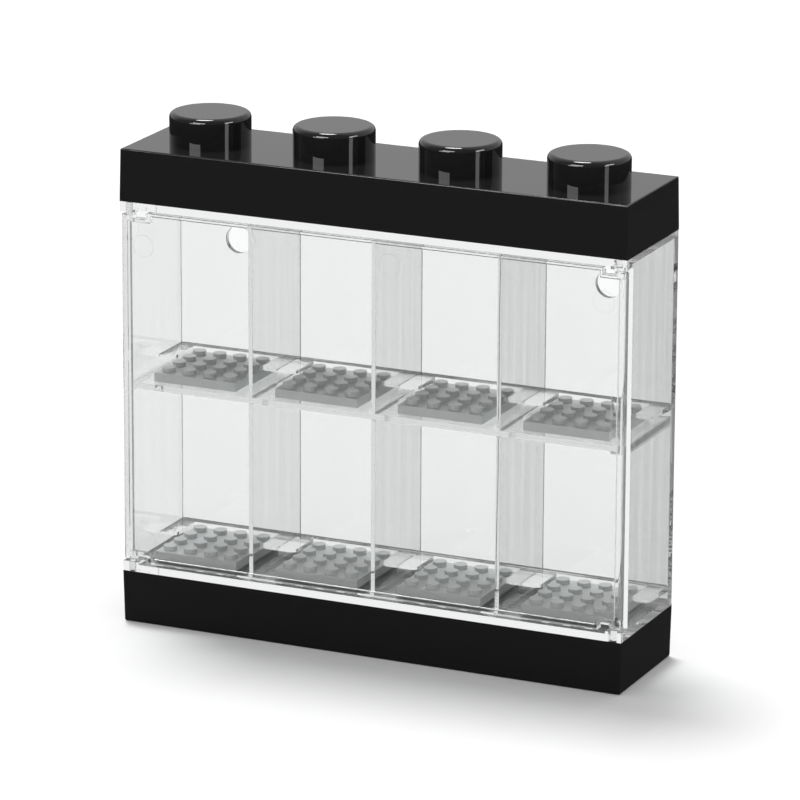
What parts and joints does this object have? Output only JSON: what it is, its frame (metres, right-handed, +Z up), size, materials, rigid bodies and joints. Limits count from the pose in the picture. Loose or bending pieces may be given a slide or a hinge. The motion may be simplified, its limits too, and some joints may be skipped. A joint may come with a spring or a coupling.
{
  "type": "minifigure display box",
  "caption": "Clear display box for toy figures with a hinged clear door, grey stud plates in its cells, and a black base and studded black lid",
  "frame": {"origin": "middle of the base's underside, where the box stands", "axes": "+X to the right along the front, +Y to the back, +Z up"},
  "size_m": [0.1908, 0.0485, 0.1836],
  "materials": {
    "black_plastic": "high gloss",
    "clear_plastic": "clear polished",
    "grey_plastic": "satin"
  },
  "bodies": {
    "case": {"base": "black_plastic", "lid": "black_plastic", "rear_shell": "clear_plastic", "shelf": "clear_plastic", "divider_left": "clear_plastic", "divider_middle": "clear_plastic", "divider_right": "clear_plastic", "stud_plate_1": "grey_plastic", "stud_plate_2": "grey_plastic", "stud_plate_3": "grey_plastic", "stud_plate_4": "grey_plastic", "stud_plate_5": "grey_plastic", "stud_plate_6": "grey_plastic", "stud_plate_7": "grey_plastic", "stud_plate_8": "grey_plastic"},
    "door": {"door": "clear_plastic"}
  },
  "joints": [
    {"name": "door_hinge", "type": "hinge", "parent": "case", "child": "door", "pos_m": [-0.0922, -0.0213, 0.0865], "axis": [0, 0, -1], "range_deg": [0, 180]}
  ]
}
